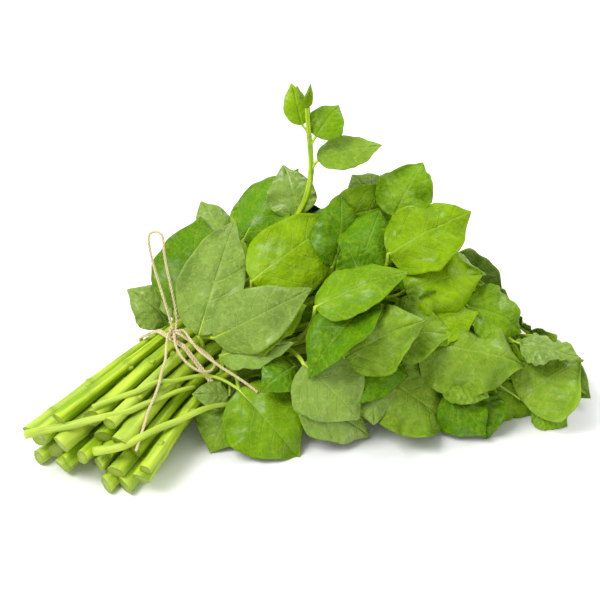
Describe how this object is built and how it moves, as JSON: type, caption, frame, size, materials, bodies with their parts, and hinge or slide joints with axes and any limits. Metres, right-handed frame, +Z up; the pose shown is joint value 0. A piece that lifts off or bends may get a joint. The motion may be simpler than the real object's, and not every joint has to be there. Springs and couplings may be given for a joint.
{
  "type": "malabar spinach bunch",
  "caption": "Bunch of leafy Malabar spinach stems tied at the neck with jute twine, lying on its side, with cut ends fanned out.",
  "frame": {"origin": "the middle of the bunch's base, on the surface that it lies on", "axes": "+X runs from the cut ends to the shoot tips, +Y away from the viewer, +Z up"},
  "size_m": [0.325, 0.2088, 0.1751],
  "materials": {
    "leaf_and_stem": "waxy green leaves and stems, satin",
    "jute_twine": "matte twisted jute fibre"
  },
  "bodies": {
    "root": {"leafy_stem_01": "leaf_and_stem", "leafy_stem_02": "leaf_and_stem", "leafy_stem_03": "leaf_and_stem", "leafy_stem_04": "leaf_and_stem", "leafy_stem_05": "leaf_and_stem", "leafy_stem_06": "leaf_and_stem", "leafy_stem_07": "leaf_and_stem", "leafy_stem_08": "leaf_and_stem", "leafy_stem_09": "leaf_and_stem", "leafy_stem_10": "leaf_and_stem", "leafy_stem_11": "leaf_and_stem", "leafy_stem_12": "leaf_and_stem", "leafy_stem_13": "leaf_and_stem", "leafy_stem_14": "leaf_and_stem", "leafy_stem_15": "leaf_and_stem", "leafy_stem_16": "leaf_and_stem", "leafy_stem_17": "leaf_and_stem", "leafy_stem_18": "leaf_and_stem", "leafy_stem_19": "leaf_and_stem", "leafy_stem_20": "leaf_and_stem", "leafy_stem_21": "leaf_and_stem", "leafy_stem_22": "leaf_and_stem", "leafy_stem_23": "leaf_and_stem", "leafy_stem_24": "leaf_and_stem", "leafy_stem_25": "leaf_and_stem", "twine_tie": "jute_twine", "twine_loop_upper": "jute_twine", "twine_loop_lower": "jute_twine", "twine_tail_left": "jute_twine", "twine_tail_right": "jute_twine"}
  },
  "joints": []
}
